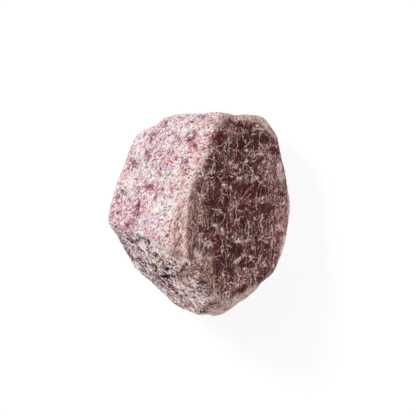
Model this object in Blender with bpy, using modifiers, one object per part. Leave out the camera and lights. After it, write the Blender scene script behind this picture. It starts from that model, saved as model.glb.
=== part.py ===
"""A rough, water-worn ruby crystal: one solid stone lying on its broken underside.

The stone is a stubby hexagonal crystal. Its growth layers lie parallel to the pale end face,
so every other face carries low ledges that run parallel to that face's edges.
"""

import math

import bmesh
import bpy
from mathutils import Vector, noise

MM = 0.001

# Size of the stone as it lies, in millimetres: X across, Y along, Z up
STONE_WIDTH = 27.6
STONE_LENGTH = 30.3
STONE_HEIGHT = 18.8

# The corner where the three upper faces meet is the highest point of the stone
CORNER = (-1.95, -6.6, STONE_HEIGHT)

# Each crystal face: the compass angle and the slope that it faces, in degrees (anticlockwise
# from +X seen from above, and above the horizon), and one point on it in millimetres
FACES = {
    # The large faces on top
    "pale end": (173, 46, CORNER),
    "dark side": (4, 55, CORNER),
    "dark side, outer": (6, 48, (8.8, 0, 11.2)),
    "lower side": (214, 30, CORNER),
    "shoulder": (133, 54, (-0.75, 4.35, 17.5)),
    "tip facet": (-84, 34, (1.4, -13.4, 16.4)),
    # The rim, clockwise from the far end
    "far end": (90, -6, (0, 15.3, 10)),
    "far right chamfer": (42, -4, (10.6, 13.7, 8)),
    "right cheek, far": (15, -6, (12.2, 10.9, 7)),
    "right cheek": (10, -6, (13.5, 5.2, 7)),
    "right cheek, near": (-14, -6, (13.3, -2.9, 7)),
    "near right corner": (-26, -4, (11.9, -7.7, 8)),
    "near right": (-52, -4, (8.0, -12.0, 10)),
    "near tip": (-91, -8, (1.0, -15.5, 12)),
    "near left": (232, -6, (-5.8, -12.2, 6)),
    "left cheek, near": (211, -4, (-12.3, -5.0, 5)),
    "left cheek": (161, -8, (-13.5, 2.1, 6)),
    "left cheek, far": (155, -6, (-10.5, 9.7, 7)),
    "far left": (124, -6, (-7.9, 13.0, 8)),
    "far left chamfer": (103, -4, (-3.6, 15.3, 9)),
    # The hidden faces under the rim
    "back end": (353, -44, (13.6, 1.3, 5.0)),
    "back side": (184, -52, (-13.3, 0, 4.2)),
    "back, far": (97, -36, (0, 14.9, 5.5)),
    "back, near": (-72, -42, (3.0, -14.2, 8.5)),
    "back, near left": (228, -44, (-9.6, -9.2, 2.6)),
    "back, near right": (-38, -40, (10.4, -8.6, 5.5)),
    "underside": (0, -90, (0, 0, -0.3)),
}

# The stone grew in layers parallel to its pale end face, and their worn edges are low ledges
# on all other faces: the spacing, the height on rough and on smooth faces, and the unevenness
LAYER_SPACING = 2.3
ROUGH_STEP = 0.42
SMOOTH_STEP = 0.16
LAYER_WANDER = 1.3

# Long grooves seen from above: start and end in X and Y, half width and depth
GROOVES = {
    "notch in the far end": ((5.4, 15.6), (5.5, 9.8), 0.8, 0.6),
    "step beside the ridge": ((0.2, 3.4), (0.0, -5.2), 0.65, 0.35),
    "middle of the dark side": ((3.6, 6.8), (3.2, -7.0), 0.7, 0.16),
    "right of the dark side": ((9.4, 5.0), (9.0, -6.5), 0.8, 0.14),
    "seam of the shoulder": ((-6.7, 13.6), (-4.8, 9.8), 0.9, 0.45),
    "crevice, upper left": ((-8.8, -4.0), (-6.9, -5.2), 0.6, 0.35),
    "crevice, upper right": ((-6.0, -6.2), (-3.4, -7.4), 0.75, 0.4),
    "crevice, lower": ((-5.2, -9.2), (-3.0, -9.7), 0.6, 0.55),
    "near right dent": ((9.7, -10.7), (8.0, -9.4), 0.9, 0.35),
}

# Pits and chips seen from above: place in X and Y, radius and depth
PITS = {
    "pit below the notch": (5.2, 7.0, 1.1, 0.4),
    "small pit beside it": (6.9, 8.0, 0.8, 0.25),
    "pit low on the dark side": (2.0, -4.4, 1.0, 0.35),
    "pit by the lower right": (7.2, -5.0, 1.0, 0.22),
    "pit on the shoulder": (-4.0, 12.0, 1.0, 0.35),
    "hollow on the pale end": (-7.4, 6.2, 1.5, 0.35),
    "hollow by the left edge": (-10.2, 1.2, 1.3, 0.25),
    "chip at the near tip": (1.4, -12.8, 1.4, 0.25),
}

# Worn surface: wavelength and height of the lumps, in millimetres
LUMPS = ((7.0, 0.3), (3.2, 0.18), (1.7, 0.1))

VOXEL = 0.78
WEAR_PASSES = 10


def facing(angle, slope):
    """The unit vector that a face with this compass angle and slope looks along."""
    around, up = math.radians(angle), math.radians(slope)
    return Vector((math.cos(up) * math.cos(around), math.cos(up) * math.sin(around), math.sin(up)))


CRYSTAL_AXIS = facing(*FACES["pale end"][:2])


def clear_scene():
    for obj in list(bpy.data.objects):
        bpy.data.objects.remove(obj, do_unlink=True)


def cut_crystal():
    """A block with every crystal face cut through it, as a mesh in millimetres."""
    bm = bmesh.new()
    bmesh.ops.create_cube(bm, size=3 * STONE_LENGTH)
    for angle, slope, point in FACES.values():
        bmesh.ops.bisect_plane(
            bm,
            geom=bm.verts[:] + bm.edges[:] + bm.faces[:],
            plane_co=Vector(point),
            plane_no=facing(angle, slope),
            clear_outer=True,
        )
        rim = [edge for edge in bm.edges if edge.is_boundary]
        bmesh.ops.edgeloop_fill(bm, edges=rim)
    bmesh.ops.recalc_face_normals(bm, faces=bm.faces)
    mesh = bpy.data.meshes.new("ruby_crystal")
    bm.to_mesh(mesh)
    bm.free()
    return mesh


def wear_down(obj):
    """Gives the crystal an even mesh that runs with its layers, and rubs its edges round."""
    upright = CRYSTAL_AXIS.rotation_difference(Vector((0, 0, 1))).to_matrix().to_4x4()
    obj.data.transform(upright)
    remesh = obj.modifiers.new("even mesh", "REMESH")
    remesh.mode = "VOXEL"
    remesh.voxel_size = VOXEL
    smooth = obj.modifiers.new("worn edges", "SMOOTH")
    smooth.factor = 0.5
    smooth.iterations = WEAR_PASSES
    worn = bpy.data.meshes.new_from_object(
        obj.evaluated_get(bpy.context.evaluated_depsgraph_get())
    )
    obj.modifiers.clear()
    obj.data = worn
    obj.data.transform(upright.inverted())


def falloff(distance, reach):
    """1 at the middle of a groove or pit, and 0 well outside it."""
    return math.exp(-((distance / reach) ** 2))


def distance_to_line(place, start, end):
    """Distance in plan from a place to the stretch from start to end."""
    start, end = Vector(start), Vector(end)
    along = end - start
    share = max(0.0, min(1.0, (place - start).dot(along) / along.length_squared))
    return (place - start - share * along).length


def layer_height(place, normal):
    """Height of the layers' ledges: each rises slowly and drops at its edge."""
    wander = LAYER_WANDER * noise.noise(place / 7)
    along_axis = (place.dot(CRYSTAL_AXIS) + wander) / LAYER_SPACING
    layer = math.floor(along_axis)
    share = along_axis - layer
    ledge = share / 0.75 if share < 0.75 else (1 - share) / 0.25
    strength = 0.35 + abs(noise.noise(Vector((layer * 3.7, 0.5, 0.5)))) * 1.6
    smooth_face = max(0.0, min(1.0, (normal.dot(facing(*FACES["dark side"][:2])) - 0.6) / 0.3))
    step = ROUGH_STEP + (SMOOTH_STEP - ROUGH_STEP) * smooth_face
    sideways = max(0.0, min(1.0, 1.4 - 2 * abs(normal.dot(CRYSTAL_AXIS))))
    return step * strength * sideways * (ledge - 0.5)


def relief(place, normal):
    """How far the surface stands out of the worn crystal, in millimetres."""
    height = layer_height(place, normal)
    for wavelength, amount in LUMPS:
        height += amount * noise.noise(place / wavelength + Vector((wavelength, 0, 3)))
    facing_up = max(0.0, min(1.0, normal.z * 4 + 1))
    plan = place.to_2d()
    for start, end, half_width, depth in GROOVES.values():
        height -= facing_up * depth * falloff(distance_to_line(plan, start, end), half_width)
    for x, y, radius, depth in PITS.values():
        height -= facing_up * depth * falloff((plan - Vector((x, y))).length, radius)
    return height


def carve(mesh):
    normals = [vertex.normal.copy() for vertex in mesh.vertices]
    for vertex, normal in zip(mesh.vertices, normals):
        vertex.co += normal * relief(vertex.co, normal)


def flatten_base(mesh):
    """Cuts the underside flat at Z = 0, so that the stone rests on it."""
    bm = bmesh.new()
    bm.from_mesh(mesh)
    bmesh.ops.bisect_plane(
        bm,
        geom=bm.verts[:] + bm.edges[:] + bm.faces[:],
        plane_co=Vector((0, 0, 0)),
        plane_no=Vector((0, 0, -1)),
        clear_outer=True,
    )
    bmesh.ops.edgeloop_fill(bm, edges=[edge for edge in bm.edges if edge.is_boundary])
    bmesh.ops.recalc_face_normals(bm, faces=bm.faces)
    bm.to_mesh(mesh)
    bm.free()


def bring_to_size(mesh):
    """Scales the worn stone to its real size in metres, with the origin under its middle."""
    corners = [[vertex.co[axis] for vertex in mesh.vertices] for axis in range(3)]
    low = Vector(map(min, corners))
    high = Vector(map(max, corners))
    middle = Vector(((low.x + high.x) / 2, (low.y + high.y) / 2, low.z))
    size = high - low
    scale = [STONE_WIDTH / size.x, STONE_LENGTH / size.y, STONE_HEIGHT / size.z]
    for vertex in mesh.vertices:
        vertex.co = MM * Vector(map(lambda part, ratio: part * ratio, vertex.co - middle, scale))


def ruby_material():
    material = bpy.data.materials.new("ruby")
    material.use_nodes = True
    shader = material.node_tree.nodes["Principled BSDF"]
    shader.inputs["Base Color"].default_value = (0.30, 0.13, 0.13, 1)
    shader.inputs["Roughness"].default_value = 0.5
    shader.inputs["Metallic"].default_value = 0.0
    return material


def main():
    clear_scene()
    collection = bpy.data.collections.new("ruby")
    bpy.context.scene.collection.children.link(collection)
    ruby = bpy.data.objects.new("ruby", cut_crystal())
    collection.objects.link(ruby)
    wear_down(ruby)
    carve(ruby.data)
    flatten_base(ruby.data)
    bring_to_size(ruby.data)
    ruby.data.materials.append(ruby_material())
    ruby.data.shade_smooth()
    print("ruby:", len(ruby.data.polygons), "faces", tuple(round(d / MM, 2) for d in ruby.dimensions))


main()
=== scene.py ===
import math
import bmesh
import bpy
import numpy as np
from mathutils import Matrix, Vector


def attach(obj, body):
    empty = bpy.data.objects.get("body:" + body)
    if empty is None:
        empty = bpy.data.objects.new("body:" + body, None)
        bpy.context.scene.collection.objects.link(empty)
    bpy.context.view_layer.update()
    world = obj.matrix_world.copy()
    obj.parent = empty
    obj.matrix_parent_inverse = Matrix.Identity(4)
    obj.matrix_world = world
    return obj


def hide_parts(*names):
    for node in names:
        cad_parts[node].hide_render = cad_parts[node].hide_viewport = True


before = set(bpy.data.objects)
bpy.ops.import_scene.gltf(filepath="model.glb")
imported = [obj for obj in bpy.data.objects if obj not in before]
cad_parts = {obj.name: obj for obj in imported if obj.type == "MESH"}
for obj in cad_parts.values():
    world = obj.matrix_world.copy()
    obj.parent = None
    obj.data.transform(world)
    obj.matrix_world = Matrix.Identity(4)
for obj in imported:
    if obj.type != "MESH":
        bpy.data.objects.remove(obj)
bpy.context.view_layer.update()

mm = 0.001
# The photograph looks straight down on the stone
pixel = 0.15  # one of its pixels in mm
originPixel = (199, 214)  # the pixel over the origin
frameMiddle = (208, 208)


def planOf(px, py):
    return ((px - originPixel[0]) * pixel, (originPixel[1] - py) * pixel)


def direction(compass, slope):  # degrees from +X towards +Y, and above the horizon
    around, up = math.radians(compass), math.radians(slope)
    return Vector((math.cos(up) * math.cos(around), math.cos(up) * math.sin(around), math.sin(up)))


# The crystal: its growth layers lie across the axis, which is the way the pale end looks
crystal = {
    "axis": direction(173, 46),
    "darkSide": direction(4, 55),
    "lowerSide": direction(214, 30),
    # Compass angles, seen from above, of the scales on the pale end and the streaks on the lower side
    "paleGrain": 60,
    "lowerGrain": -40,
    # Edges in pixels: the ridge that parts the dark side from the rest, from the near tip up,
    # and the edge under the pale end, from left to right
    "ridge": (
        (215.5, 318), (213, 303), (211, 297), (203, 281), (195.6, 263), (187, 257), (187.5, 235),
        (188.5, 210), (190, 197), (194, 185), (200, 173), (208, 159), (212.5, 134), (222, 118), (224, 100),
    ),
    "lowerEdge": ((90, 214), (107.6, 223), (132, 232), (155, 241), (172, 251), (187, 257), (230, 262)),
    "edgeBlend": 2.4,  # mm over which one side gives way to the next
    # The hidden half takes over between these heights in mm, and its lower side looks this way
    "girdle": (6.0, 9.0),
    "hiddenLowerSide": direction(222, -5),
}
axis = crystal["axis"]
alongLayers = axis.cross(crystal["darkSide"]).normalized()
acrossLayers = axis.cross(alongLayers)


def laidInFace(compass, face):  # the way along a face that shows that compass angle from above
    way = direction(compass, 0)
    way.z = -way.dot(face) / face.z
    return way.normalized()


paleGrain = laidInFace(crystal["paleGrain"], axis)
lowerGrain = laidInFace(crystal["lowerGrain"], crystal["lowerSide"])


def isVector(value):  # a vector or a colour, and not a single number
    if isinstance(value, Wire):
        return value.socket.type in ("VECTOR", "RGBA")
    return isinstance(value, (Vector, tuple))


# A socket with arithmetic on it, so that a node tree reads as a formula
class Wire:
    def __init__(self, tree, socket):
        self.tree, self.socket = tree, socket

    def join(self, operation, *others, output=0):
        values = (self, *others)
        kind = "ShaderNodeVectorMath" if any(map(isVector, values)) else "ShaderNodeMath"
        return put(self.tree, kind, dict(enumerate(values)), output, operation=operation)

    def __add__(self, other):
        return self.join("ADD", other)

    def __sub__(self, other):
        return self.join("SUBTRACT", other)

    def __rsub__(self, other):
        return put(self.tree, "ShaderNodeMath", {0: other, 1: self}, operation="SUBTRACT")

    def __mul__(self, other):
        if isVector(self) and not isVector(other):
            return put(self.tree, "ShaderNodeVectorMath", {0: self, 3: other}, operation="SCALE")
        return self.join("MULTIPLY", other)

    def __truediv__(self, other):
        if isVector(self) and not isVector(other):
            return self * (other.join("POWER", -1.0) if isinstance(other, Wire) else 1 / other)
        return self.join("DIVIDE", other)

    def dot(self, other):
        return self.join("DOT_PRODUCT", other, output="Value")

    def cross(self, other):
        return self.join("CROSS_PRODUCT", other)

    def unit(self):
        return self.join("NORMALIZE")

    def size(self):
        return put(self.tree, "ShaderNodeMath", {0: self}, operation="ABSOLUTE")

    def most(self, other):
        return self.join("MAXIMUM", other)

    def least(self, other):
        return self.join("MINIMUM", other)

    # 0 to 1 as the value goes from low to high, or back down where high is under low
    def ramp(self, low, high, smooth=True):
        ends = {1: high, 2: low, 3: 1.0, 4: 0.0} if low > high else {1: low, 2: high, 3: 0.0, 4: 1.0}
        kind = "SMOOTHSTEP" if smooth else "LINEAR"
        return put(self.tree, "ShaderNodeMapRange", {0: self, **ends}, interpolation_type=kind)

    def blend(self, start, end):  # from start to end, by this share
        if isVector(start) or isVector(end):
            return put(self.tree, "ShaderNodeMix", {0: self, 6: start, 7: end}, 2, data_type="RGBA")
        return put(self.tree, "ShaderNodeMix", {0: self, 2: start, 3: end}, data_type="FLOAT")


def plug(tree, value, socket):
    if isinstance(value, Wire):
        tree.links.new(value.socket, socket)
    elif socket.type == "RGBA":
        socket.default_value = (*value, 1)[:4]
    elif socket.type == "VECTOR":
        socket.default_value = tuple(value) if isVector(value) else (value,) * 3
    else:
        socket.default_value = value


def put(tree, kind, values, output=0, **settings):
    node = tree.nodes.new(kind)
    for name, value in settings.items():
        setattr(node, name, value)
    for name, value in values.items():
        plug(tree, value, node.inputs[name])
    return Wire(tree, node.outputs[output])


def named(tree, name, output="Fac"):  # an attribute of the stone's points
    if tree.bl_idname == "GeometryNodeTree":
        return put(tree, "GeometryNodeInputNamedAttribute", {"Name": name}, data_type="FLOAT")
    return put(tree, "ShaderNodeAttribute", {}, output, attribute_name=name)


def noiseOf(place, size, detail=2.0, roughness=0.5):  # 0 to 1, with lumps of that size in mm
    values = {"Vector": place, "Scale": 1 / size, "Detail": detail, "Roughness": roughness}
    return put(place.tree, "ShaderNodeTexNoise", values, "Fac")


def warpOf(place, size, amount, detail):  # a wandering vector in mm, to warp a pattern with
    values = {"Vector": place, "Scale": 1 / size, "Detail": detail}
    return (put(place.tree, "ShaderNodeTexNoise", values, "Color") - (0.5, 0.5, 0.5)) * amount


def cellsOf(place, output):
    return put(place.tree, "ShaderNodeTexVoronoi", {"Vector": place, "Scale": 1.0}, output)


def joined(tree, x, y, z):
    return put(tree, "ShaderNodeCombineXYZ", {0: x, 1: y, 2: z})


def parted(vector):
    return [put(vector.tree, "ShaderNodeSeparateXYZ", {0: vector}, number) for number in range(3)]


# Place in mm along the layers' axis, along their edges on the dark side, and across both
def crystalPlace(place):
    return place.dot(axis), place.dot(alongLayers), place.dot(acrossLayers)


def stretched(place, along, by):  # squeezes a direction, so that a pattern comes out longer there
    return place - joined(place.tree, *along) * (place.dot(along) * (1 - 1 / by))


def makeTree(title, kind, inputs, outputs):
    tree = bpy.data.node_groups.new(title, kind)
    for name, socket, value in inputs:
        made = tree.interface.new_socket(name=name, in_out="INPUT", socket_type=socket)
        if value is not None:
            made.default_value = value
    for name, socket in outputs:
        tree.interface.new_socket(name=name, in_out="OUTPUT", socket_type=socket)
    given = tree.nodes.new("NodeGroupInput")
    result = tree.nodes.new("NodeGroupOutput")
    return tree, {name: Wire(tree, given.outputs[name]) for name, socket, value in inputs}, result


# A tree that works on a mesh, with one number for each of the sizes
def meshTree(title, sizes):
    inputs = [("Geometry", "NodeSocketGeometry", None)]
    for name, value in sizes.items():
        inputs.append((name, "NodeSocketInt" if name == "Seed" else "NodeSocketFloat", value))
    return makeTree(title, "GeometryNodeTree", inputs, [("Geometry", "NodeSocketGeometry")])


def blurred(value, passes):
    values = {"Value": value, "Iterations": passes}
    return put(value.tree, "GeometryNodeBlurAttribute", values, data_type="FLOAT_VECTOR")


def stored(geometry, name, value, kind="FLOAT", domain="POINT"):
    values = {"Geometry": geometry, "Name": name, "Value": value}
    return put(geometry.tree, "GeometryNodeStoreNamedAttribute", values, data_type=kind, domain=domain)


def endTree(geometry, material, result):
    tree = geometry.tree
    whole = put(tree, "GeometryNodeRealizeInstances", {"Geometry": geometry})
    dressed = put(tree, "GeometryNodeSetMaterial", {"Geometry": whole, "Material": material})
    tree.links.new(dressed.socket, result.inputs["Geometry"])
    return tree


def placed(name, data):
    thing = bpy.data.objects.new(name, data)
    bpy.context.scene.collection.objects.link(thing)
    return thing


def applied(thing):
    thing.data = bpy.data.meshes.new_from_object(thing.evaluated_get(bpy.context.evaluated_depsgraph_get()))
    thing.modifiers.clear()
    return thing


def grown(thing, tree, sizes):  # the mesh that the tree makes of the thing
    modifier = thing.modifiers.new(tree.name, "NODES")
    modifier.node_group = tree
    for item in tree.interface.items_tree:
        if item.in_out == "INPUT" and item.name in sizes:
            modifier[item.identifier] = sizes[item.name]
    return applied(thing)


def newMaterial(name):
    material = bpy.data.materials.new(name)
    material.use_nodes = True
    return material, material.node_tree.nodes["Principled BSDF"]


# The stone's fine mesh: the voxel in mm, the rest in passes
surface = {
    "voxel": 0.175,
    "smoothing": 5,
    "plainBlur": 30,
    "wearBlur": 160,
}


def fineStone():
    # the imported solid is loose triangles, so its copy is merged first
    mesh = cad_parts["ruby"].data.copy()
    mesh.name = "ruby_stone"
    mesh.materials.clear()
    bm = bmesh.new()
    bm.from_mesh(mesh)
    bmesh.ops.remove_doubles(bm, verts=bm.verts, dist=1e-6)
    bm.to_mesh(mesh)
    bm.free()
    stone = placed("ruby_stone", mesh)
    rounding = stone.modifiers.new("rounding", "SUBSURF")
    rounding.levels = rounding.render_levels = 1
    even = stone.modifiers.new("even mesh", "REMESH")
    even.mode = "VOXEL"
    even.voxel_size = surface["voxel"] * mm
    smooth = stone.modifiers.new("smooth", "SMOOTH")
    smooth.iterations = surface["smoothing"]
    return applied(stone)


# Distance in plan from each point to a line of pixels, and the same with its side: above 0 to the right
def fromLine(plan, line):
    best = np.full(len(plan), 1e9)
    side = np.ones(len(plan))
    corners = [np.array(planOf(*corner)) for corner in line]
    for start, end in zip(corners, corners[1:]):
        along = end - start
        share = np.clip((plan - start) @ along / (along @ along), 0, 1)
        gap = plan - start - share[:, None] * along
        distance = np.hypot(gap[:, 0], gap[:, 1])
        turn = (plan[:, 0] - start[0]) * along[1] - (plan[:, 1] - start[1]) * along[0]
        nearer = distance < best
        best = np.where(nearer, distance, best)
        side = np.where(nearer, np.sign(turn), side)
    return best, best * side


def step(values, low, high):
    share = np.clip((values - low) / (high - low), 0, 1)
    return share * share * (3 - 2 * share)


# Marks on the stone: x and y in pixels, length and width in pixels, and
# the compass angle of the length
marks = {
    "cell": (  # hollows where the purple inside shows
        (191, 137, 17, 9, 62), (195, 146, 8, 5, 60), (178.7, 139.5, 7, 6, 0), (185.7, 166, 17, 8, 78),
        (161, 171, 14, 3, 85), (137.5, 209, 19, 6, 80), (152.7, 138, 11, 8, 60), (164.6, 124, 9, 7, 50),
        (202.5, 117, 9, 6, 0), (133, 165, 14, 9, 60), (124, 192, 8, 6, 45), (117.6, 198, 12, 3, 65),
        (118.3, 211, 12, 4, 70), (111.5, 216, 8, 4, 70), (131, 240, 19, 5, -46), (150, 188, 10, 7, 0),
        (143, 262, 12, 5, -45), (170, 281, 12, 6, -40), (183, 300, 10, 4, -45), (128, 250, 10, 4, -50),
        (196, 268, 8, 6, 60), (148, 152, 8, 4, 40), (128, 225, 9, 4, 70), (146, 222, 8, 3, 65),
        (172, 152, 9, 5, 60), (156, 199, 8, 4, 60),
    ),
    "cream": (  # chalky white skin
        (170.3, 176.5, 17, 8, 33), (173.8, 140.5, 9, 4, 0), (168, 147, 12, 8, 0), (191, 131, 12, 5, 70),
        (190, 181, 20, 8, 70), (168, 201, 19, 6, -22), (160, 207, 13, 8, 0), (136, 177.5, 32, 3.4, 42),
        (141.5, 158, 11, 2, 88), (184.6, 138, 24, 3.4, 84), (165, 252, 22, 10, -27), (184, 285.5, 19, 6, -17),
        (158, 262, 13, 9, -40), (136, 157, 14, 4, 40), (146, 251, 8, 4, -40), (205, 297, 12, 8, -10),
        (165, 219.5, 9, 3.5, 40), (146, 163, 8, 5, 50), (152, 176, 9, 6, 50), (126, 187, 6, 4, 40),
        (178, 191, 9, 5, 50), (171, 213, 12, 5, 60), (209, 243, 9, 6, 0), (214.5, 225, 4, 8, 80),
        (238.5, 179, 8, 4, 30), (232, 165.5, 10, 4.5, -50), (236.5, 260, 11, 4, 35), (250.3, 256.4, 4, 4, 0),
        (246.5, 162, 4.4, 4, 0), (239, 241, 14, 2.6, 2), (266.4, 242.4, 3.4, 3.4, 0),
        (253, 247.6, 4.4, 3.4, 0), (281, 228, 6, 9, 60), (261, 129, 4, 8, 80), (283, 204, 4, 9, 90),
    ),
    "rose": (  # clear red or salmon places
        (170.3, 161, 14, 8, 20), (150, 188, 12, 7, 0), (176, 121, 16, 7, 20), (248, 124.5, 18, 9, 0),
        (215.5, 140, 12, 9, 60), (207.6, 164, 10, 5, 62), (226, 218, 8, 4, 80), (250, 264, 10, 5, 0),
        (278, 237, 8, 6, 80), (241, 197, 10, 6, 60), (288, 190, 26, 4, 100), (158, 235, 34, 9, -28),
        (228, 122, 14, 6, 80), (266, 214, 12, 5, 80), (113, 224, 14, 5, -30), (112, 194, 40, 4, 72),
        (122, 168, 30, 4, 64),
    ),
    "tan": (  # brown weathering
        (193, 217, 64, 9, 90), (179, 234, 46, 11, 88), (179, 249, 20, 14, 95), (206, 268, 24, 12, 80),
        (211, 284, 16, 12, 75), (188, 272, 22, 16, 30), (212, 302, 20, 7, 25), (281, 207, 10, 6, 90),
    ),
    "dusty": (  # where the felt of pale lines thickens
        (236, 300, 76, 15, 32), (284, 222, 140, 32, 95), (258, 124, 50, 12, -12), (207, 268, 50, 16, 80),
        (246, 276, 40, 18, 25), (268, 150, 34, 22, 100), (202, 204, 60, 9, 84), (270, 178, 50, 22, 95),
        (213, 288, 40, 16, 78), (246, 240, 24, 10, 0), (234, 170, 20, 12, 0), (248, 277, 16, 12, 0),
        (206, 182, 14, 14, 0), (228, 132, 34, 12, 0), (200, 274, 16, 14, 0), (230, 206, 10, 14, 80),
        (197, 244, 20, 14, 85), (242, 254, 12, 10, 0), (202, 199, 34, 12, 84), (263, 204, 14, 14, 0),
        (278, 193, 14, 12, 0), (241, 183, 14, 12, 0),
    ),
    "blush": (  # broad pinker places on the pale end
        (128, 220, 50, 26, 56), (193, 143, 28, 16, 62), (158, 152, 28, 16, 40), (152, 189, 22, 13, 0),
        (144, 193, 18, 13, 0), (157, 217, 17, 15, 0),
    ),
    "dusk": (  # darker streaks low on the lower side
        (160, 286, 36, 8, -44), (174, 291, 40, 6, -40), (188, 300, 26, 8, -38), (170, 279, 12, 8, 0),
        (178, 274, 16, 4, -20), (186, 268, 12, 6, -60), (133, 259, 20, 3, -50), (121, 243, 16, 8, -45),
    ),
    "window": (  # clear places on the dark side
        (264, 140, 8, 16, 85), (240, 146, 8, 22, 88), (273, 151, 8, 14, 75), (221, 137, 12, 16, 85),
        (249, 139, 8, 12, 80), (209, 164, 8, 16, 70), (251, 190, 14, 34, 86), (217, 194, 12, 20, 88),
        (262, 208, 10, 24, 88), (252, 145, 12, 16, 80), (240, 214, 9, 18, 88), (222, 222, 10, 20, 85),
        (217, 242, 14, 14, 80), (238, 252, 10, 10, 80), (222, 262, 12, 12, 60), (241, 290, 14, 8, 30),
        (278, 218, 8, 12, 86), (207, 252, 8, 10, 80), (214, 205, 6, 26, 88),
    ),
    "powder": (  # rims of the dark side that are worn to a pale dust
        (234, 115.5, 62, 11, -3), (266, 125, 24, 6, -50), (209, 120, 22, 12, -10), (197, 262, 26, 10, 80),
        (240, 298, 60, 9, 33), (214, 311, 30, 8, 8), (281, 172, 20, 6, 100), (209, 300, 26, 14, 20),
        (290, 200, 60, 3.5, 92), (283, 250, 40, 4, 75), (204, 300, 18, 8, 30),
    ),
    "crest": (  # where the ridge is sharp
        (184, 224, 84, 24, 90),
    ),
    "pit": (  # small black holes
        (144, 238.8, 4, 2.4, 0), (149, 242.4, 3.6, 2.4, -40), (156.5, 256, 4.4, 2.6, 80),
        (167.5, 268.8, 4.6, 2.8, 20), (156.6, 271, 4, 2.6, -40), (182.2, 269.6, 3.4, 2.4, 80),
        (204.2, 281.3, 4.2, 2.4, 20), (202, 310.6, 3.6, 2.4, 0), (167.5, 235, 3, 1.8, 0),
        (169, 275.6, 17, 2.2, 4), (172.6, 268, 3, 2, 0), (145.7, 155.6, 2.6, 2, 0), (148.6, 159, 3, 2, 40),
        (173.8, 133.6, 3.4, 2.4, 0), (163.2, 189.3, 2.6, 2.4, 0), (192, 122.6, 2.6, 2, 0),
        (204, 150, 2.4, 2.4, 0), (236, 171.4, 5, 2.6, -55), (282.4, 195, 5, 2, 0), (276.7, 252.7, 2, 2.4, 0),
        (232, 166, 2, 2.4, 0), (125, 187.6, 2.4, 2, 0), (160, 261.5, 3, 2, 0), (163.6, 263, 3, 2, -30),
        (208.4, 242.6, 2.4, 2, 0), (129, 258, 2, 2, 0), (176, 292, 3, 1.8, -45), (187, 263, 2.6, 2, 0),
    ),
}
# Healed cracks that show as single white lines, most on the dark side: x and y in pixels by turns
seams = (
    (229.6, 136, 227.5, 141.5, 223.5, 145.5, 217, 148), (261.5, 152.8, 257.6, 155, 253.6, 157.6),
    (268.6, 143, 266.5, 148, 263.2, 151.4), (276.8, 152, 273.6, 156, 270.5, 161),
    (205.5, 175.6, 210, 174, 213, 171.5), (219.3, 178, 222.5, 183, 226, 189.5),
    (229, 138, 228.6, 146, 229, 154), (237, 137, 236.6, 146, 236.2, 156),
    (259.8, 134, 259.2, 143, 259.5, 151), (256.5, 192.5, 256.2, 201, 256, 209),
    (202, 196, 199.6, 206, 198.6, 219, 199.2, 236, 200.5, 249), (230.6, 185, 230, 202, 230.4, 221),
    (235.6, 193, 235.2, 206, 235.6, 221), (271.6, 243, 272, 250, 271.6, 256), (261, 233, 261.4, 240),
    (223, 272, 226, 268.6), (243, 163, 250, 168, 258, 181, 264, 186), (216, 150, 213.6, 162, 212, 171),
    (226, 214, 222, 222, 217.6, 228), (246, 262, 253, 256.6), (232, 225, 236, 219.6, 243, 216),
    (202, 235, 204, 247, 206, 262), (280, 262, 284, 252), (128, 246, 121, 236),
    (131, 250, 138, 254.5, 146, 262), (205, 258, 209, 251), (180, 220, 182, 231, 184.4, 241, 187.4, 251),
    (244, 131, 240, 134.5, 235.5, 134), (253, 134, 250, 141, 247, 146, 244.6, 147.6),
    (245, 175, 251.4, 175.6, 256, 178), (247, 190.6, 243, 195.6, 238.6, 203),
    (263, 197, 258, 202, 256.4, 206.6), (253, 182, 257, 179.4, 261.6, 185, 265, 186.4),
    (272, 226, 273, 237, 271.6, 246), (215.6, 256.4, 220, 260.6, 224, 264),
    (245.6, 253.6, 240, 256.4, 235.6, 262), (267, 256.4, 263, 262, 259.6, 264),
    (220, 235, 222, 242, 221.4, 251), (233.6, 208, 239.4, 210.6, 246, 209.4),
    (212.6, 209, 220, 210.6, 223, 214.4), (218.6, 198.6, 223, 194.4, 221.4, 190.4), (267, 153, 271.6, 160),
    (235.6, 192, 233.6, 199, 236.4, 206.4), (212, 173, 217, 173, 223, 171.4), (258, 262, 254, 270, 255, 278),
    (236, 268, 239, 276, 238, 284), (226, 280, 231, 287), (246, 218, 249, 226, 248, 236),
    (262, 214, 260, 222, 262, 231), (154, 243, 160, 249, 168, 254, 176, 258), (150, 266, 158, 274, 167, 282),
    (172, 284, 181, 288, 192, 292), (138, 170, 130, 178, 122, 186), (162, 196, 170, 199, 175, 203),
    (144, 152, 142, 161, 141, 166), (141, 168, 136, 176, 131, 180, 126, 181), (156, 176, 161, 184, 160, 192),
    (184, 124, 182, 134, 179, 143), (150, 206, 157, 202, 165, 205, 172, 204), (118, 214, 124, 206, 127, 197),
    (133, 231, 140, 224, 143, 214),
)


def markShape(plan, px, py, length, width, compass):  # 1 in the middle, a half at the rim
    turn = math.radians(compass)
    x, y = (plan - np.array(planOf(px, py))).T
    along = (x * math.cos(turn) + y * math.sin(turn)) / (length * pixel / 2)
    across = (y * math.cos(turn) - x * math.sin(turn)) / (width * pixel / 2)
    return np.exp2(-(along ** 2 + across ** 2))


def store(mesh, name, values):
    layer = mesh.attributes.new(name, "FLOAT", "POINT")
    layer.data.foreach_set("value", values.astype(np.float32))


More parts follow.
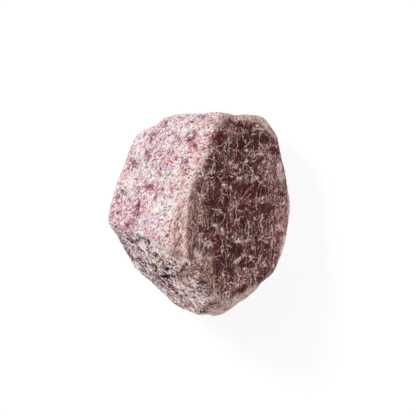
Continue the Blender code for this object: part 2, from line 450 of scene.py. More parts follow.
def markStone(stone):
    mesh = stone.data
    count = len(mesh.vertices)
    place = np.empty(count * 3)
    mesh.vertices.foreach_get("co", place)
    place = place.reshape(-1, 3) / mm
    normal = np.array([corner.vector for corner in mesh.vertex_normals])
    plan = place[:, :2]
    upper = step(place[:, 2], *crystal["girdle"])
    lean = np.abs(normal @ np.array(axis))
    hiddenLower = step(normal @ np.array(crystal["hiddenLowerSide"]), 0.5, 0.8)
    hiddenDark = (1 - step(lean, 0.5, 0.75)) * (1 - hiddenLower)
    rightOfRidge = fromLine(plan, crystal["ridge"])[1]
    belowEdge = fromLine(plan, crystal["lowerEdge"])[1]
    dark = np.clip(rightOfRidge / crystal["edgeBlend"] + 0.5, 0, 1)
    lower = np.clip(belowEdge / crystal["edgeBlend"] + 0.5, 0, 1) * (rightOfRidge < 0.6)
    far = 9.0  # mm, where no line is near
    store(mesh, "darkSide", upper * dark + (1 - upper) * hiddenDark)
    store(mesh, "lowerSide", upper * lower + (1 - upper) * hiddenLower)
    store(mesh, "fromRidge", rightOfRidge * upper + (1 - upper) * np.where(hiddenDark > 0.5, far, -far))
    store(mesh, "fromEdge", belowEdge * upper + (1 - upper) * far)
    seen = step(normal[:, 2], -0.3, 0.1)  # marks lie on what the photograph shows
    for kind, places in marks.items():
        shape = np.zeros(count)
        for mark in places:
            shape = np.maximum(shape, markShape(plan, *mark))
        store(mesh, kind, shape * seen)
    nearest, side = np.full(count, far), np.full(count, far)
    for seam in seams:
        gap, turn = fromLine(plan, tuple(zip(seam[::2], seam[1::2])))
        side = np.where(gap < nearest, turn, side)
        nearest = np.minimum(nearest, gap)
    store(mesh, "seam", np.where(seen > 0.5, nearest, far))
    store(mesh, "seamSide", np.where(seen > 0.5, side, far))
    print("stone:", count, "points marked")


# The relief that the surface carries, all heights in mm
relief = {
    "Scale Length": 1.5, "Scale Width": 0.62, "Scale Height": 0.15,
    "Striae": 0.10, "Striae Spacing": 0.5,
    "Ledges": 0.36, "Hollows": 0.22, "Pits": 0.32, "Seams": 0.05,
    "Grain": 0.05, "Lumps": 0.16,
}


def reliefTree(material):
    tree, given, result = meshTree("stone relief", relief)
    position = put(tree, "GeometryNodeInputPosition", {})
    place = position / mm
    plain = blurred(put(tree, "GeometryNodeInputNormal", {}), surface["plainBlur"]).unit()
    # convex edges stand out of the much blurred shape
    rounded = blurred(position, surface["wearBlur"])
    wear = ((position - rounded) / mm).dot(plain)
    dark, lower = named(tree, "darkSide"), named(tree, "lowerSide")
    pale = (1.0 - dark) * (1.0 - lower)
    s, t, b = crystalPlace(place)
    wander = noiseOf(place, 5.0) * 0.8
    spacing = given["Striae Spacing"]
    striae = noiseOf(joined(tree, (s + wander) / spacing, t * 0.16, b * 0.3), 1.0, 4.0, 0.6) - 0.5
    ledges = noiseOf(joined(tree, (s + wander) / 0.8, t * 0.35, b * 0.5), 1.0, 3.0, 0.55) - 0.5
    streaks = noiseOf(stretched(place, lowerGrain, 4.0), 0.8, 3.0, 0.55) - 0.5
    # tilted scales that overlap along the grain of the pale end
    warped = place + warpOf(place, 1.25, 1.0, 1.0)
    u, v = warped.dot(paleGrain), warped.dot(axis.cross(paleGrain))
    scalePlace = joined(tree, u / given["Scale Length"], v / given["Scale Width"], s * 0.5)
    offset = scalePlace - cellsOf(scalePlace, "Position")
    scales = offset.dot((0.5, 0.7, 0.0)) - cellsOf(scalePlace, "Distance") * 0.6 + 0.35
    grain = noiseOf(place, 0.42, 3.0, 0.6) - 0.5
    lumps = noiseOf(place, 1.9, 2.0) - 0.5
    height = scales * given["Scale Height"] * (pale + lower * 0.6)
    height = height + striae * given["Striae"] * (dark * 1.6 + lower * 0.5)
    height = height + (ledges * dark * 0.35 + streaks * lower * 1.5) * given["Ledges"]
    height = height + grain * given["Grain"] * 2.0 + lumps * given["Lumps"]
    height = height - named(tree, "cell").ramp(0.1, 1.0) * given["Hollows"]
    height = height - named(tree, "pit").ramp(0.25, 0.85) * given["Pits"]
    height = height - named(tree, "seam").ramp(0.35, 0.0) * given["Seams"]
    # the flat underside stays where it is
    height = height * parted(place)[2].ramp(0.1, 1.2)
    geometry = stored(given["Geometry"], "plainNormal", plain, "FLOAT_VECTOR")
    geometry = stored(stored(geometry, "relief", height), "wear", wear)
    moved = put(tree, "GeometryNodeSetPosition", {"Geometry": geometry, "Offset": plain * height * mm})
    # no point goes below the surface that the stone lies on
    x, y, z = parted(put(tree, "GeometryNodeInputPosition", {}))
    above = joined(tree, x, y, z.most(0.0))
    kept = put(tree, "GeometryNodeSetPosition", {"Geometry": moved, "Position": above})
    return endTree(kept, material, result)


def carveRelief(stone, material):
    grown(stone, reliefTree(material), relief)
    stone.data.shade_smooth()
    print("stone:", len(stone.data.polygons), "faces")


def colour(red, green, blue):  # from the 0 to 255 of a picture to the shader's values
    return tuple(((v / 255 + 0.055) / 1.055) ** 2.4 if v > 10 else v / 3295 for v in (red, green, blue))


# One short curved line in each cell of a 3D pattern, laid in the surface. Lengths in mm
def strokesGroup():
    inputs = [(name, "NodeSocketVector", None) for name in ("Place", "Facing", "Direction")]
    sizes = ("Spread", "Cell", "Length", "Width", "Bend", "Seed")
    inputs += [(name, "NodeSocketFloat", None) for name in sizes]
    tree, given, result = makeTree("strokes", "ShaderNodeTree", inputs, [("Bright", "NodeSocketFloat")])
    cell, facing, seed = given["Cell"], given["Facing"], given["Seed"]
    place = (given["Place"] + joined(tree, seed * 17.3, seed * 5.1, seed * 9.7)) / cell
    centre = cellsOf(place, "Position")
    random = Wire(tree, centre.socket.node.outputs["Color"]) - (0.5, 0.5, 0.5)
    offset = (place - centre) * cell
    spread = given["Spread"]
    side = facing.cross(given["Direction"]).unit() * (1.0 - spread) + random * (spread * 2.0)
    side = (side - facing * side.dot(facing)).unit()
    red, green, blue = parted(random)
    long = given["Length"] * (blue + 1.0)
    along = offset.dot(facing.cross(side)) / (long * 0.5)
    squared = along * along
    curve = red * given["Bend"] * squared * long
    mask = ((offset.dot(side) - curve).size() / given["Width"] + squared).ramp(1.0, 0.4)
    tone = green + 0.5
    bright = mask * (tone * tone * tone * 0.93 + 0.07)
    tree.links.new(bright.socket, result.inputs["Bright"])
    return tree


# The deep, middle and light tone of each zone, as the surface shows it in soft light
stoneColours = {
    "pink": (colour(150, 98, 110), colour(226, 173, 184), colour(255, 252, 252)),
    "rosy": (colour(152, 80, 90), colour(220, 150, 156), colour(255, 246, 246)),
    "lilac": (colour(134, 102, 118), colour(218, 190, 206), colour(255, 255, 255)),
    "salmon": (colour(156, 70, 76), colour(220, 130, 130), colour(255, 232, 228)),
    "cell": (colour(88, 40, 58), colour(156, 98, 118), colour(238, 206, 220)),
    "cream": (colour(136, 100, 88), colour(252, 228, 212), colour(255, 253, 245)),
    "peach": (colour(150, 94, 84), colour(236, 188, 174), colour(255, 246, 238)),
    "powder": (colour(108, 58, 54), colour(206, 158, 150), colour(255, 236, 228)),
    "brown": (colour(64, 30, 26), colour(142, 94, 83), colour(236, 200, 184)),
    "mauve": (colour(62, 28, 36), colour(172, 106, 118), colour(255, 238, 242)),
    "maroon": (colour(56, 8, 12), colour(82, 20, 24), colour(116, 38, 39)),
    "dust": colour(190, 116, 110),
    "hair": colour(255, 236, 228), "rosyHair": colour(246, 196, 188),
    "black": colour(12, 9, 10),
}

# The finish that is the same all over the stone
stoneFinish = {
    "specular": 0.12, "roughness": 0.4, "bump": 0.8, "bumpDepth": 0.12,  # in mm
}


def shades(tone, tones):  # from deep through middle to light as the tone goes from 0 to 1
    deep, middle, light = tones
    return tone.ramp(0.5, 1.0, False).blend(tone.ramp(0.0, 0.5, False).blend(deep, middle), light)


# What the parts of the stone's surface share: places, masks and patterns
class Skin:
    def __init__(self, tree):
        self.tree = tree
        self.place = put(tree, "ShaderNodeTexCoord", {}, "Object") / mm
        self.facing = named(tree, "plainNormal", "Vector").unit()
        place = self.place
        self.along, self.vertical, self.across = crystalPlace(place)
        self.warp = self.shift(0.9, 0.5, 3.0)
        self.wavy = place + self.warp
        self.coarse = noiseOf(place, 4.5, 2.0)
        self.coarse2 = noiseOf(place + (11.0, 5.0, 2.0), 3.4, 3.0)
        self.middle = noiseOf(place + (31.0, 0.0, 7.0), 1.5, 3.0, 0.6)
        # fine patterns run with the layers on the dark side, and with the grain on the other two
        layered = joined(tree, self.along * 1.5, self.vertical * 0.5, self.across * 0.7)
        layered = layered + self.shift(0.9, 0.2, 2.0)
        drifting = place + self.shift(0.9, 0.16, 2.0)
        isLower = named(tree, "lowerSide")
        layered = isLower.ramp(0.45, 0.55).blend(layered, stretched(drifting, lowerGrain, 3.0))
        flat = (1.0 - named(tree, "darkSide")) * (1.0 - isLower)
        self.streaky = flat.ramp(0.45, 0.55).blend(layered, stretched(drifting, paleGrain, 2.4))
        self.fine = noiseOf(self.streaky, 0.33, 3.0, 0.72)
        self.sparkle = noiseOf(place + (3.0, 9.0, 1.0), 0.18, 1.0)
        self.edge = noiseOf(place, 0.9, 4.0, 0.65) - 0.5
        # the carved relief's height, which the tones add as painted shade in the hollows and painted light on
        # the raised parts
        self.height = named(tree, "relief")
        self.fromRidge = named(tree, "fromRidge") + self.edge * 1.4
        self.fromEdge = named(tree, "fromEdge") + self.edge * 1.4
        self.crumble = self.edge + (self.fine - 0.5) * 1.2 + (self.sparkle - 0.5) * 0.8
        ragged = self.crumble * (1.0 - named(tree, "crest") * 0.8)
        self.dark = (named(tree, "darkSide") + ragged * 1.3).ramp(0.32, 0.68)
        self.lower = (isLower + self.crumble * 0.7).ramp(0.4, 0.6)
        self.pale = (1.0 - self.dark) * (1.0 - self.lower)
        # single lines run the same way
        way = joined(tree, *axis).cross(self.facing).unit()
        way = self.lower.blend(way, joined(tree, *lowerGrain))
        self.way = self.pale.blend(way, joined(tree, *paleGrain))
        self.group = strokesGroup()
        self.fineFelt = self.strokes(1, 0.5, 0.9, 0.08, 0.4, 0.4)
        self.midFelt = self.strokes(3, 0.9, 1.9, 0.075, 0.28, 0.2)
        # grit of the surface: light and dark specks and hairlines about as wide as a pixel
        gritty = self.streaky + self.shift(0.4, 0.08, 1.0)
        self.light = self.veins(gritty + (3.0, 1.0, 8.0), 0.3, 0.1)
        self.shadow = self.veins(gritty + (8.0, 6.0, 2.0), 0.34, 0.09)
        self.grit = (self.light - self.shadow) * 0.55 + (self.sparkle - 0.5) * 1.2

    def shift(self, size, amount, detail):
        return warpOf(self.place, size, amount * 2.0, detail)

    def strokes(self, seed, cell, length, width, spread, bend):
        values = {
            "Place": self.wavy, "Facing": self.facing, "Direction": self.way, "Spread": spread,
            "Cell": cell, "Length": length, "Width": width, "Bend": bend, "Seed": float(seed),
        }
        node = self.tree.nodes.new("ShaderNodeGroup")
        node.node_tree = self.group
        for name, value in values.items():
            plug(self.tree, value, node.inputs[name])
        return Wire(self.tree, node.outputs["Bright"])

    def mark(self, name, ragged=1.0):  # a listed mark with a torn outline
        return named(self.tree, name) + ((self.middle - 0.5) * 1.2 + (self.fine - 0.5) * 0.9) * ragged

    # thin wandering lines, where a noise passes its middle
    def veins(self, place, size, width, detail=1.0):
        return (noiseOf(place, size, detail, 0.5) - 0.5).size().ramp(width, 0.0)

    # the same lines, and the shadow beside them
    def cracks(self, place, size, width, detail=1.0):
        gap = (noiseOf(place, size, detail, 0.5) - 0.5).size()
        return gap.ramp(width, 0.0), gap.ramp(width * 3.5, width)


def paleEnd(skin, tint):  # pinks under a chalky skin of small scales
    fine, middle, coarse = skin.fine, skin.middle, skin.coarse
    scaly = stretched(skin.place + skin.shift(1.1, 0.22, 2.0), paleGrain, 2.8)
    # scales as wandering white lines, each with a shadow on its lower right
    scales, shadows = [
        skin.veins(place, 0.36, 0.055).most(skin.veins(place + (1.0, 5.0, 9.0), 0.6, 0.04, 3.0))
        for place in (scaly, scaly + (-0.1, 0.08, 0.05))
    ]
    gaps = skin.veins(scaly + (7.0, 3.0, 1.0), 0.45, 0.05)
    gaps = gaps * noiseOf(skin.place + (5.0, 1.0, 3.0), 0.6).ramp(0.36, 0.6)
    broken = noiseOf(skin.place, 0.7).ramp(0.34, 0.6)
    grain = noiseOf(scaly, 0.34, 3.0, 0.7)
    chalk = skin.mark("cream", 1.0).ramp(0.28, 0.75)
    cell = (skin.mark("cell", 1.2) + (grain - 0.5) * 0.5).ramp(0.25, 0.9)
    blush = skin.mark("blush", 0.8).ramp(0.15, 0.9)
    skin.scales = scales * broken * (1.0 - blush * 0.5) + skin.fineFelt * 0.7 + skin.midFelt * 0.9
    # painted shade and light: the relief's height makes the tone darker in the hollows and lighter on the
    # raised parts
    tone = (grain - 0.5) * 0.8 + (middle - 0.5) * 0.7 + skin.height * 0.5 + skin.grit * 0.5
    tone = tone + chalk * 0.16 + 0.48 + skin.scales * 1.25
    tone = tone - shadows * (1.0 - scales) * (chalk * 0.4 + 0.4) - gaps * (chalk * 0.7 + 0.75) - cell * 0.15
    tone = (tone - 0.5) * 1.45 + 0.55 + (skin.coarse2 - 0.5) * 0.5 - blush * 0.12
    # towards the ridge the scales give way to a fine speckle
    peachy = (skin.fromRidge.ramp(-4.5, -0.9) * 0.8 + (coarse - 0.5) * 1.4 + (grain - 0.5)).ramp(0.25, 0.95)
    speckle = (fine - 0.5) * 2.6 + skin.grit + (middle - 0.5) * 2.0 + (skin.coarse2 - 0.5) * 0.8
    speckle = speckle + skin.fineFelt * 0.7 - gaps * 0.5 + 0.48 - named(skin.tree, "crest") * 0.32
    tone = (peachy * 0.6).blend(tone, speckle)
    under = parted(skin.facing)[2].ramp(-0.12, -0.35)  # calmer on the underside
    tone = (tone - 0.5) * (1.0 - under * 0.35) + 0.5 - under * 0.06
    zones = (skin.coarse2 * 0.6 + middle * 0.4).ramp(0.42, 0.58)
    zones = zones.most(blush * 0.7).blend(shades(tone, tint["pink"]), shades(tone, tint["rosy"]))
    lilacs = (coarse * 0.6 + middle * 0.4 + (grain - 0.5) * 0.4).ramp(0.46, 0.62)
    zones = (lilacs * (0.55 - under * 0.4)).blend(zones, shades(tone, tint["lilac"]))
    zones = (skin.mark("rose").ramp(0.3, 0.9) * 0.7).blend(zones, shades(tone, tint["salmon"]))
    zones = (peachy * 0.7).most(under * 0.35).blend(zones, shades(tone, tint["peach"]))
    zones = (cell * 0.7).blend(zones, shades(tone, tint["cell"]))
    return (chalk * 0.85).blend(zones, shades(tone + 0.1, tint["cream"]))


def lowerSide(skin, tint):  # broken across the layers: mauve ledges with dark hollows between
    middle, fine = skin.middle, skin.fine
    streaky = stretched(skin.place + skin.shift(1.1, 0.2, 2.0), lowerGrain, 4.0)
    grain = noiseOf(streaky, 0.42, 4.0, 0.65)
    ledges = noiseOf(streaky, 1.0, 3.0, 0.6)
    gaps = skin.veins(streaky + (3.0, 1.0, 5.0), 0.6, 0.06, 2.0)
    chalk = skin.mark("cream", 1.2).ramp(0.25, 0.75)
    cell = skin.mark("cell", 1.2).ramp(0.3, 0.9)
    lines = skin.veins(streaky + (9.0, 4.0, 2.0), 0.44, 0.06).most(skin.veins(skin.wavy, 0.6, 0.04, 2.0))
    lines = lines * (skin.sparkle * 0.5 + middle * 0.5).ramp(0.4, 0.58)
    tone = (grain - 0.5) * 2.8 + (ledges - 0.5) * 2.5 + (middle - 0.5) * 1.5 + (fine - 0.5) * 1.8
    # painted shade and light: the relief's height makes the tone darker in the hollows and lighter on the
    # raised parts
    tone = tone + skin.height * 0.9 + skin.grit * 1.9 + lines * 1.1 + 0.52
    tone = tone + (skin.fineFelt + skin.midFelt) * 0.9 - gaps * 1.1 - cell * 0.2
    tone = tone - skin.mark("dusk", 0.8).ramp(0.2, 0.9) * 0.34
    tone = (tone - 0.5) * 1.3 + 0.5
    away = parted(skin.facing)[2].ramp(0.12, -0.15)  # pinker and calmer where it turns under
    tone = (tone - 0.55) * (1.15 - away * 0.6) + 0.56
    zones = (away * 0.5).blend(shades(tone, tint["mauve"]), shades(tone, tint["rosy"]))
    x, y = parted(skin.place)[:2]
    warm = (skin.fromEdge.ramp(3.0, 0.0) * (x.ramp(-8.0, -4.0) * 0.4 + 0.1)).most(y.ramp(-9.0, -13.0) * 0.5)
    zones = warm.blend(zones, shades(tone, tint["peach"]))
    zones = (cell * 0.4).blend(zones, shades(tone + 0.2, tint["cell"]))
    crumbs = (grain * 0.5 + skin.sparkle * 0.5 + (skin.coarse - 0.5) * 0.3).ramp(0.38, 0.32)
    zones = (crumbs * (0.9 - away * 0.6)).blend(zones, tint["mauve"][0])
    # the chalky skin is real, and here it is also painted lighter than on the pale end: painted light that
    # makes up for the dimmer light on this side
    return (chalk * 0.85).blend(zones, shades((tone - 0.5) * 1.3 + 0.92, tint["peach"]))


def darkSide(skin, tint):  # clear maroon under fine pale cracks, which thicken into dust
    tree, place, middle, fine = skin.tree, skin.place, skin.middle, skin.fine
    s, t, b = skin.along, skin.vertical, skin.across
    streaks = noiseOf(joined(tree, s / 0.3, t * 0.25, b * 0.4) + skin.warp, 1.0, 3.0, 0.6)
    rose = skin.mark("rose", 0.6)
    clearing = skin.mark("window", 0.7).most(rose).ramp(0.25, 0.8)
    rim = skin.fromRidge.ramp(9.0, 15.0)
    bands = noiseOf(joined(tree, s / 1.3, t * 0.08, b * 0.15) + skin.warp * 0.5, 1.0, 2.0) - 0.5
    dusty = named(tree, "dusty") * 0.8 + rim * 0.5 + (skin.coarse - 0.5) * 1.1 + (middle - 0.5) * 0.7
    dusty = (dusty + bands * 0.7 - clearing * 0.25).ramp(0.05, 1.0, False)
    clear = (middle * 0.5 + skin.coarse2 * 0.5 + (streaks - 0.5) * 0.6 - bands * 0.3).ramp(0.34, 0.66)
    ground = shades(clear * 0.6 + rose.ramp(0.45, 1.0) * 0.35, tint["maroon"])
    # cracks along the layers, and a looser net across them
    wander = skin.shift(0.5, 0.12, 1.0)
    layers = joined(tree, s / 0.7, t * 0.22, b * 0.4) + skin.warp * 0.9 + wander
    layered, beside = skin.cracks(layers, 1.0, 0.06)
    layers = joined(tree, s, t * 0.35, b * 0.5) + skin.warp * 1.4 + (4.0, 9.0, 2.0)
    layered2, beside2 = skin.cracks(layers, 1.0, 0.045)
    net, besideNet = skin.cracks(skin.wavy + wander + (2.0, 8.0, 5.0), 1.5, 0.03, 2.0)
    beads = noiseOf(place, 0.45, 2.0, 0.6).ramp(0.4, 0.68)
    patchy = noiseOf(place + (9.0, 2.0, 6.0), 1.1, 3.0, 0.7)
    windows = noiseOf(joined(tree, s / 1.5, t * 0.4, b * 0.5) + skin.warp + (6.0, 4.0, 1.0), 1.0, 2.0, 0.6)
    cover = (windows + dusty * 0.28 - clearing * 0.16 + (fine - 0.5) * 0.3).ramp(0.44, 0.66)
    curls, besideCurls = skin.cracks(place + skin.shift(0.5, 0.1, 1.0) + (5.0, 1.0, 2.0), 0.62, 0.07)
    curly = patchy.ramp(0.42, 0.6)
    threads = layered * patchy.ramp(0.5, 0.7) * 0.9 + layered2 * patchy.ramp(0.5, 0.36) * 0.8
    threads = (threads + curls * curly * 0.8).most(net * patchy.ramp(0.46, 0.62)) * (beads * 0.9 + 0.1)
    shade = (beside * patchy.ramp(0.4, 0.6)).most(beside2 * patchy.ramp(0.6, 0.4))
    shade = shade.most(besideNet.most(besideCurls * curly) * 0.6)
    loose = skin.strokes(4, 1.3, 2.2, 0.065, 0.95, 0.4)
    long = skin.strokes(5, 1.7, 5.0, 0.06, 0.06, 0.03)
    beaded = long * (skin.sparkle * 0.6 + fine * 0.4).ramp(0.4, 0.56)
    strokes = (skin.midFelt * (cover * 0.8 + 0.2)).most(beaded).most(loose) * (beads * 0.6 + 0.6)
    haze = dusty * 0.6 + (fine - 0.5) * 1.1 + (streaks - 0.5) * 0.8 + skin.grit * 0.55 + 0.08
    haze = haze.ramp(0.14, 1.3) * (cover * 0.7 + 0.3)
    dots = (skin.sparkle * 0.7 + fine * 0.3 + dusty * 0.05).ramp(0.62, 0.72)
    felt = skin.fineFelt * (dusty * 0.9 + 0.2)
    threads = threads.most(dots * 0.6).most(felt) * (cover * 0.9 + 0.1)
    skin.lines = threads.most(strokes) * (1.0 - clearing * 0.45)
    haze = haze * (1.0 - shade * 0.6)
    ground = (haze * 0.85).blend(ground, tint["dust"])
    hair = (skin.lines - dusty * 0.3).ramp(0.05, 0.5).blend(tint["rosyHair"], tint["hair"])
    ground = (skin.lines * (haze * 0.3 + 2.2)).least(1.0).blend(ground, hair)
    # the rims are worn to a pale dust
    speckle = (fine - 0.5) * 1.8 + skin.grit + (middle - 0.5) * 1.4 + skin.lines * 0.7 + 0.57
    powder = skin.mark("powder", 1.1).ramp(0.15, 0.75)
    ground = (powder * 0.9).blend(ground, shades(speckle, tint["powder"]))
    skin.dusty = dusty
    skin.streaks = streaks
    cream = skin.mark("cream", 0.4)
    flecks = (cream * 0.95 + (skin.sparkle - 0.5) * 2.0 + (fine - 0.5) * 1.5).ramp(0.5, 0.8)
    return (flecks * 0.75).blend(ground, tint["cream"][1])


def addBump(tree, shader, height, strength, depth):
    bump = put(tree, "ShaderNodeBump", {"Height": height, "Strength": strength, "Distance": depth}, "Normal")
    tree.links.new(bump.socket, shader.inputs["Normal"])


def rubyMaterial():
    tint = stoneColours
    material, shader = newMaterial("ruby")
    tree = material.node_tree
    skin = Skin(tree)
    fine, middle = skin.fine, skin.middle
    pale, dark = paleEnd(skin, tint), darkSide(skin, tint)
    colours = skin.dark.blend(skin.lower.blend(pale, lowerSide(skin, tint)), dark)
    # the ridge is rubbed pale, and brown beside that
    speckle = (fine - 0.5) * 2.2 + skin.grit + (skin.streaks - 0.5) + (middle - 0.5) * 0.8
    brown = shades(speckle - skin.dark * 0.06 - skin.lower * 0.1 + skin.lines * 0.6 + 0.5, tint["brown"])
    colours = (skin.mark("tan", 0.9).ramp(0.12, 0.9) * 0.85).blend(colours, brown)
    crest = named(tree, "fromRidge") + skin.edge * 0.5
    rubbed = crest.ramp(-0.7, -0.3) * crest.ramp(0.2, -0.1) * named(tree, "crest").ramp(0.15, 0.5)
    rubbed = rubbed * (skin.crumble + middle * 0.6 + 0.2).ramp(0.35, 0.7)
    colours = (rubbed * 0.7).blend(colours, shades(speckle + 0.6, tint["peach"]))
    wear = named(tree, "wear") + (fine - 0.5) * 0.9 + (middle - 0.5) * 0.8
    worn = skin.dark.blend(shades(speckle + 0.55, tint["peach"]), tint["dust"])
    colours = (wear.ramp(0.35, 0.9) * 0.45).blend(colours, worn)
    wiggle = (noiseOf(skin.place, 0.7, 3.0, 0.6) - 0.5) * 0.9
    seam = ((named(tree, "seamSide") + wiggle).size() * (1.0 - skin.pale * 0.5)).ramp(0.07, 0.02)
    seam = seam * named(tree, "seam").ramp(0.55, 0.4)
    seam = seam * (middle * 0.3 + fine * 0.3 + skin.sparkle * 0.4).ramp(0.38, 0.56)
    colours = (seam * 0.85).blend(colours, tint["hair"])
    pit = (named(tree, "pit") + (fine - 0.5) * 1.2 + skin.grit * 0.4).ramp(0.36, 0.66)
    colours = (pit * (0.95 - skin.pale * 0.45)).blend(colours, tint["black"])
    tree.links.new(colours.socket, shader.inputs["Base Color"])
    shader.inputs["Specular IOR Level"].default_value = stoneFinish["specular"]
    rough = fine * 0.2 + skin.pale * 0.2 + skin.dusty * skin.dark * 0.2 + stoneFinish["roughness"]
    tree.links.new(rough.socket, shader.inputs["Roughness"])
    raised = skin.dark.blend(skin.scales, skin.lines)
    raised = raised * 0.7 + fine * 0.7 + skin.streaks * skin.dark * 0.5 - pit * 0.6
    addBump(tree, shader, raised, stoneFinish["bump"], stoneFinish["bumpDepth"] * mm)
    return material


# Small crystals of other minerals that sit in the chalk, the pits and the crevices. Lengths in mm
grains = {
    "Per Square": 9.0, "Size": 0.17, "Size Spread": 0.5, "Sunk": 0.6, "Seed": 7,
}
# Each is flat-sided and cut off at one end, and leans by chance (angles in radians)
grainShape = {
    "Vertices": 5, "Side Segments": 1, "Fill Segments": 1,
    "Radius Top": 0.28 * mm, "Radius Bottom": 0.5 * mm, "Depth": 0.8 * mm,
}
grainLean = {0: (-0.6, -0.6, 0.0), 1: (0.6, 0.6, 6.28), "Seed": 3}


def grainTree(material):
    tree, given, result = meshTree("stone grains", grains)
    share = (named(tree, "cream").ramp(0.5, 1.0) * 0.45).most(named(tree, "pit").ramp(0.05, 0.5))
    share = share.most(named(tree, "lowerSide") * 0.015)
    share = share.most(named(tree, "dusty").ramp(0.5, 1.0) * 0.04) + 0.002
    height = parted(put(tree, "GeometryNodeInputPosition", {}))[2]
    share = share * height.ramp(0.001, 0.002)  # none on the flat underside
    scatter = put(tree, "GeometryNodeDistributePointsOnFaces", {
        "Mesh": given["Geometry"], "Density": share * given["Per Square"] / mm ** 2, "Seed": given["Seed"],
    })
    turned = Wire(tree, scatter.socket.node.outputs["Rotation"])
    grain = put(tree, "GeometryNodeMeshCone", grainShape, "Mesh")
    lean = put(tree, "FunctionNodeRandomValue", grainLean, data_type="FLOAT_VECTOR")
    lean = put(tree, "FunctionNodeEulerToRotation", {0: lean})
    stand = put(tree, "FunctionNodeRotateRotation", {0: turned, 1: lean})
    spread = given["Size Spread"]
    spread = put(tree, "FunctionNodeRandomValue", {2: 1.0 - spread, 3: spread + 1.0, "Seed": 5}, 1)
    size = joined(tree, 1.0, 1.0, 1.0) * (spread * given["Size"])
    spots = put(tree, "GeometryNodeInstanceOnPoints", {
        "Points": scatter, "Instance": grain, "Rotation": stand, "Scale": size,
    })
    sunk = put(tree, "GeometryNodeTranslateInstances", {
        "Instances": spots, "Translation": joined(tree, 0.0, 0.0, given["Sunk"] * given["Size"] * (-mm)),
    })
    tone = put(tree, "FunctionNodeRandomValue", {2: 0.0, 3: 1.0, "Seed": 11}, 1)
    return endTree(stored(sunk, "tone", tone, domain="INSTANCE"), material, result)


grainColours = {
    "black": colour(26, 22, 24), "green": colour(120, 128, 104), "amber": colour(170, 112, 64),
    "cream": colour(236, 228, 206), "white": colour(255, 252, 246),
}


def grainMaterial():
    material, shader = newMaterial("grains")
    tree = material.node_tree
    tone = named(tree, "tone")
    fine = noiseOf(put(tree, "ShaderNodeTexCoord", {}, "Object") / mm, 0.12)
    colours = tone.ramp(0.14, 0.18).blend(grainColours["black"], grainColours["green"])
    colours = tone.ramp(0.3, 0.34).blend(colours, grainColours["amber"])
    colours = tone.ramp(0.34, 0.38).blend(colours, grainColours["cream"])
    colours = tone.ramp(0.68, 0.72).blend(colours, grainColours["white"])
    colours = (fine.ramp(0.35, 0.7) * 0.4).blend(colours, colours * 0.6)
    tree.links.new(colours.socket, shader.inputs["Base Color"])
    tree.links.new((fine * 0.3 + 0.15).socket, shader.inputs["Roughness"])
    addBump(tree, shader, fine, 0.4, 0.03 * mm)
    return material


def growGrains(stone):
    made = grown(placed("mineral_grains", stone.data.copy()), grainTree(grainMaterial()), grains)
    print("grains:", len(made.data.polygons), "faces")
    return made


# The flat map that the stone's colours are kept on: each part of the surface is drawn as it looks
# from one of these sides (compass angle and slope in degrees), and the drawings lie in rows
flatMap = {
    "sides": (
        (173, 46), (5, 52), (216, 18), (-84, 20), (95, 5), (140, 10), (0, -12), (180, -30), (-50, -10),
        (-110, -40), (97, -40), (353, -50), (40, -5), (0, -90),
    ),
    "gap": 0.8,  # mm between drawings
    "widths": (30.0, 140.0, 1.0),  # of rows, in mm: the least, the most and the step between those tried
}


def unfold(stone):
    mesh = stone.data
    place = np.empty(len(mesh.vertices) * 3)
    mesh.vertices.foreach_get("co", place)
    plain = np.empty(len(mesh.vertices) * 3)
    mesh.attributes["plainNormal"].data.foreach_get("vector", plain)
    corners = np.empty(len(mesh.loops), int)
    mesh.loops.foreach_get("vertex_index", corners)
    first, count = np.empty(len(mesh.polygons), int), np.empty(len(mesh.polygons), int)
    mesh.polygons.foreach_get("loop_start", first)
    mesh.polygons.foreach_get("loop_total", count)
    place = place.reshape(-1, 3)[corners] / mm
    facing = np.add.reduceat(plain.reshape(-1, 3)[corners], first)
    ways = np.array([direction(*side) for side in flatMap["sides"]])
    side = np.repeat(np.argmax(facing @ ways.T, axis=1), count)
    drawings = []
    for number, way in enumerate(ways):
        chosen = side == number
        if not chosen.any():
            continue
        right = np.cross((0, 0, 1), way) if abs(way[2]) < 0.99 else np.array((1.0, 0, 0))
        right = right / np.linalg.norm(right)
        spots = place[chosen] @ np.array((right, np.cross(way, right))).T
        drawings.append((chosen, spots - spots.min(axis=0)))
    drawings.sort(key=lambda drawing: -drawing[1][:, 1].max())
    # rows as wide as the best square for them
    gap = flatMap["gap"]
    best = None
    for width in np.arange(*flatMap["widths"]):
        x, y, tall, spread, starts = gap, gap, 0.0, 0.0, []
        for chosen, spots in drawings:
            wide, high = spots.max(axis=0) + gap
            if x + wide > width and x > gap:
                x, y, tall = gap, y + tall, 0.0
            starts.append((x, y))
            x, tall, spread = x + wide, max(tall, high), max(spread, x + wide)
        size = max(spread, y + tall)
        if best is None or size < best[0]:
            best = (size, starts)
    flat = np.zeros((len(corners), 2))
    for (chosen, spots), start in zip(drawings, best[1]):
        flat[chosen] = (spots + start) / best[0]
    layer = mesh.uv_layers.new(name="OFBake")
    layer.data.foreach_set("uv", flat.astype(np.float32).ravel())
    print("stone: flat map of", len(drawings), "drawings,", round(best[0], 1), "mm wide")


# The studio: lengths in mm, and the key light in watts
stage = {
    "lens": 200, "sensor": 36, "viewWidth": 62.4, "girdleHeight": 9.0, "clip": (10, 10000),
    "keyWay": (-0.6, 0.5, 0.6), "keyDistance": 700, "keySize": 240, "keyPower": 2.7,
    "skyOnStone": 0.55, "skyBehind": 1.0,
    "floorSize": 1500, "floorGrey": 0.25, "floorRoughness": 0.7, "floorGlow": 0.82,
}


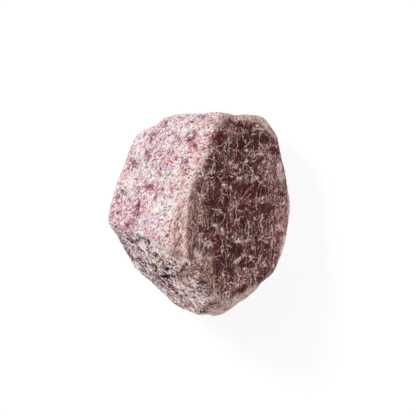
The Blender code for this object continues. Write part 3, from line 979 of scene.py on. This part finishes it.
def makeCamera():
    camera = placed("camera", bpy.data.cameras.new("camera"))
    camera.data.lens = stage["lens"]
    camera.data.sensor_width = stage["sensor"]
    x, y = planOf(*frameMiddle)
    away = stage["viewWidth"] * stage["lens"] / stage["sensor"]
    camera.location = Vector((x, y, stage["girdleHeight"] + away)) * mm
    camera.data.clip_start, camera.data.clip_end = [end * mm for end in stage["clip"]]
    bpy.context.scene.camera = camera


def makeLights():
    light = bpy.data.lights.new("key", "AREA")
    light.shape = "DISK"
    light.size = stage["keySize"] * mm
    light.energy = stage["keyPower"]
    key = placed("key", light)
    way = Vector(stage["keyWay"]).normalized()
    key.location = way * stage["keyDistance"] * mm
    key.rotation_euler = way.to_track_quat("Z", "Y").to_euler()
    world = bpy.data.worlds.new("studio")
    world.use_nodes = True
    bpy.context.scene.world = world
    tree = world.node_tree
    background = tree.nodes["Background"]
    seen = put(tree, "ShaderNodeLightPath", {}, "Is Camera Ray")
    strength = seen.blend(stage["skyOnStone"], stage["skyBehind"])
    tree.links.new(strength.socket, background.inputs["Strength"])
    background.inputs["Color"].default_value = (1, 1, 1, 1)
    bpy.context.scene.view_settings.view_transform = "Standard"


def makeFloor():
    bm = bmesh.new()
    bmesh.ops.create_grid(bm, x_segments=1, y_segments=1, size=stage["floorSize"] * mm)
    mesh = bpy.data.meshes.new("floor")
    bm.to_mesh(mesh)
    bm.free()
    floor = placed("floor", mesh)
    material, shader = newMaterial("floor")
    shader.inputs["Base Color"].default_value = (*[stage["floorGrey"]] * 3, 1)
    shader.inputs["Roughness"].default_value = stage["floorRoughness"]
    shader.inputs["Specular IOR Level"].default_value = 0.0
    shader.inputs["Emission Color"].default_value = (1, 1, 1, 1)
    shader.inputs["Emission Strength"].default_value = stage["floorGlow"]
    mesh.materials.append(material)


makeCamera()
makeLights()
makeFloor()
print("stage set")
stone = fineStone()
print("stone: fine mesh of", len(stone.data.vertices), "points")
markStone(stone)
carveRelief(stone, rubyMaterial())
unfold(stone)
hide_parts("ruby")
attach(stone, "root")
grainsPiece = growGrains(stone)
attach(grainsPiece, "root")
